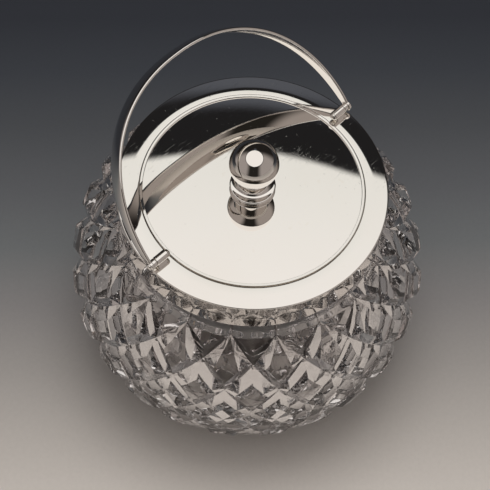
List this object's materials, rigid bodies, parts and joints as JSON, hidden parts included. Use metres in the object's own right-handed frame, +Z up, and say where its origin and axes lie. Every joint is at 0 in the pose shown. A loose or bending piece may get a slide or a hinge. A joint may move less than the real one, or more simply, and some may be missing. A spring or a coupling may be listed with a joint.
{
  "type": "biscuit jar",
  "caption": "Round diamond-cut glass biscuit jar with a plated mount, a flat lift-off lid with a ball finial, and a swing handle pivoted on the flange.",
  "frame": {"origin": "middle of the base, on the surface that the jar stands on", "axes": "+Z up along the jar's axis, X along the handle's pivots, and +Y towards the side that the handle leans to"},
  "size_m": [0.162, 0.162, 0.1785],
  "materials": {
    "cut_glass": "clear cut and polished glass",
    "plaster": "set plaster",
    "plate_collar": "polished silver plate",
    "plate_flange": "polished silver plate",
    "plate_lid": "polished silver plate",
    "plate_finial": "polished silver plate",
    "plate_handle": "polished silver plate",
    "plate_pivot": "polished silver plate",
    "brass": "plain turned brass"
  },
  "bodies": {
    "jar": {"glass_jar": "cut_glass", "bedding_plaster": "plaster", "collar": "plate_collar", "top_flange": "plate_flange", "lid_seat_ring": "plate_collar", "pivot_barrel_left": "plate_pivot", "pivot_barrel_right": "plate_pivot"},
    "lid": {"lid_plate": "plate_lid", "lid_rim_wire": "plate_lid", "lid_bezel": "plate_lid", "finial_foot": "plate_finial", "finial_ball": "plate_finial", "finial_stud": "brass", "finial_washer": "brass", "finial_nut": "brass"},
    "handle": {"handle_strap": "plate_handle", "pivot_pin_left": "plate_pivot", "pivot_pin_right": "plate_pivot", "pivot_spacer_left": "plate_pivot", "pivot_spacer_right": "plate_pivot"}
  },
  "joints": [
    {"name": "lid_lift", "type": "slide", "parent": "jar", "child": "lid", "axis": [0, 0, 1], "range_m": [0, 0.03]},
    {"name": "handle_swing", "type": "hinge", "parent": "jar", "child": "handle", "pos_m": [0, 0, 0.1332], "axis": [1, 0, 0], "range_deg": [-40.5, 139.5]}
  ]
}
